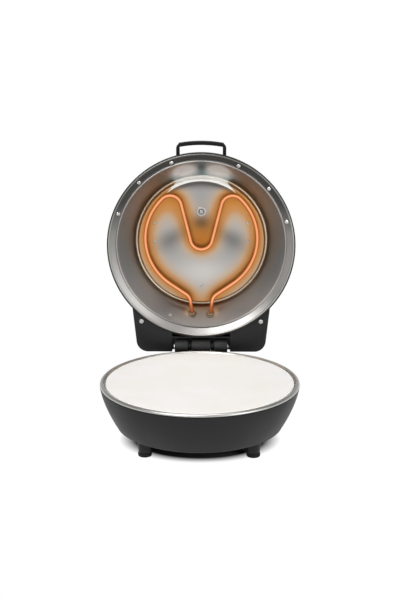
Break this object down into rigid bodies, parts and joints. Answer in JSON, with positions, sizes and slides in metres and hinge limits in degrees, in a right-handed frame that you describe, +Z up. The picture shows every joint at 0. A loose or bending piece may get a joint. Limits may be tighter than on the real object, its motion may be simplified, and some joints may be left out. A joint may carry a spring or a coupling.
{
  "type": "electric pizza maker",
  "caption": "Round countertop pizza maker with a baking stone in a dark base on feet, and a hinged domed lid, shown open, with a bent heating tube in its polished reflector.",
  "frame": {"origin": "middle of the four rubber pads, on the worktop", "axes": "+X to the user's right, +Y from the user to the hinge, +Z up; the lid is stored open"},
  "size_m": [0.3395, 0.4525, 0.4819],
  "materials": {
    "base_plastic": "satin",
    "lid_paint": "satin",
    "rim_steel": "brushed",
    "sheet_steel": "brushed",
    "stone": "matt",
    "tube": null,
    "ceramic": "matt",
    "steel": "plated",
    "rubber": "matt",
    "bracket_steel": "satin",
    "grip_plastic": "satin",
    "fibre": "ceramic fibre felt",
    "lamp_red": "gloss",
    "pointer_white": "matt"
  },
  "bodies": {
    "base": {"base_bowl": "base_plastic", "rim_ring": "rim_steel", "base_pan": "sheet_steel", "baking_stone": "stone", "lower_element": "tube", "lower_element_posts": "steel", "lower_terminal_sleeves": "ceramic", "heat_shield": "sheet_steel", "shield_posts": "steel", "bottom_plate": "bracket_steel", "bottom_plate_screws": "steel", "feet": "base_plastic", "foot_pads": "rubber", "foot_screws": "steel", "hinge_bracket": "bracket_steel", "hinge_bracket_screws": "steel", "hinge_pin": "steel", "hinge_spacers": "grip_plastic", "cord_inlet": "rubber", "terminal_block": "ceramic", "terminal_screws": "steel"},
    "lid": {"lid_shell": "lid_paint", "lid_ring": "rim_steel", "ring_screws": "steel", "lid_reflector": "sheet_steel", "disc_screws": "steel", "disc_washer": "steel", "upper_element": "tube", "element_ferrules": "steel", "upper_terminal_sleeves": "ceramic", "insulation_pad": "fibre", "hinge_cover_plate": "bracket_steel", "cover_plate_rivets": "steel", "lid_knuckle": "bracket_steel", "lid_knuckle_screws": "steel", "handle": "grip_plastic", "handle_screws": "steel", "thermostat_body": "ceramic", "thermostat_bracket": "steel", "thermostat_nut": "steel", "lamp_bezels": "steel", "lamp_lenses": "lamp_red"},
    "dial": {"thermostat_dial": "grip_plastic", "dial_spindle": "steel", "dial_pointer": "pointer_white"}
  },
  "joints": [
    {"name": "lid_hinge", "type": "hinge", "parent": "base", "child": "lid", "pos_m": [0, 0.188, 0.106], "axis": [1, 0, 0], "range_deg": [0, 90.8]},
    {"name": "dial_turn", "type": "hinge", "parent": "lid", "child": "dial", "pos_m": [0, 0.25725, 0.39706], "axis": [0, -0.9668, -0.2554], "range_deg": [0, 270]}
  ]
}
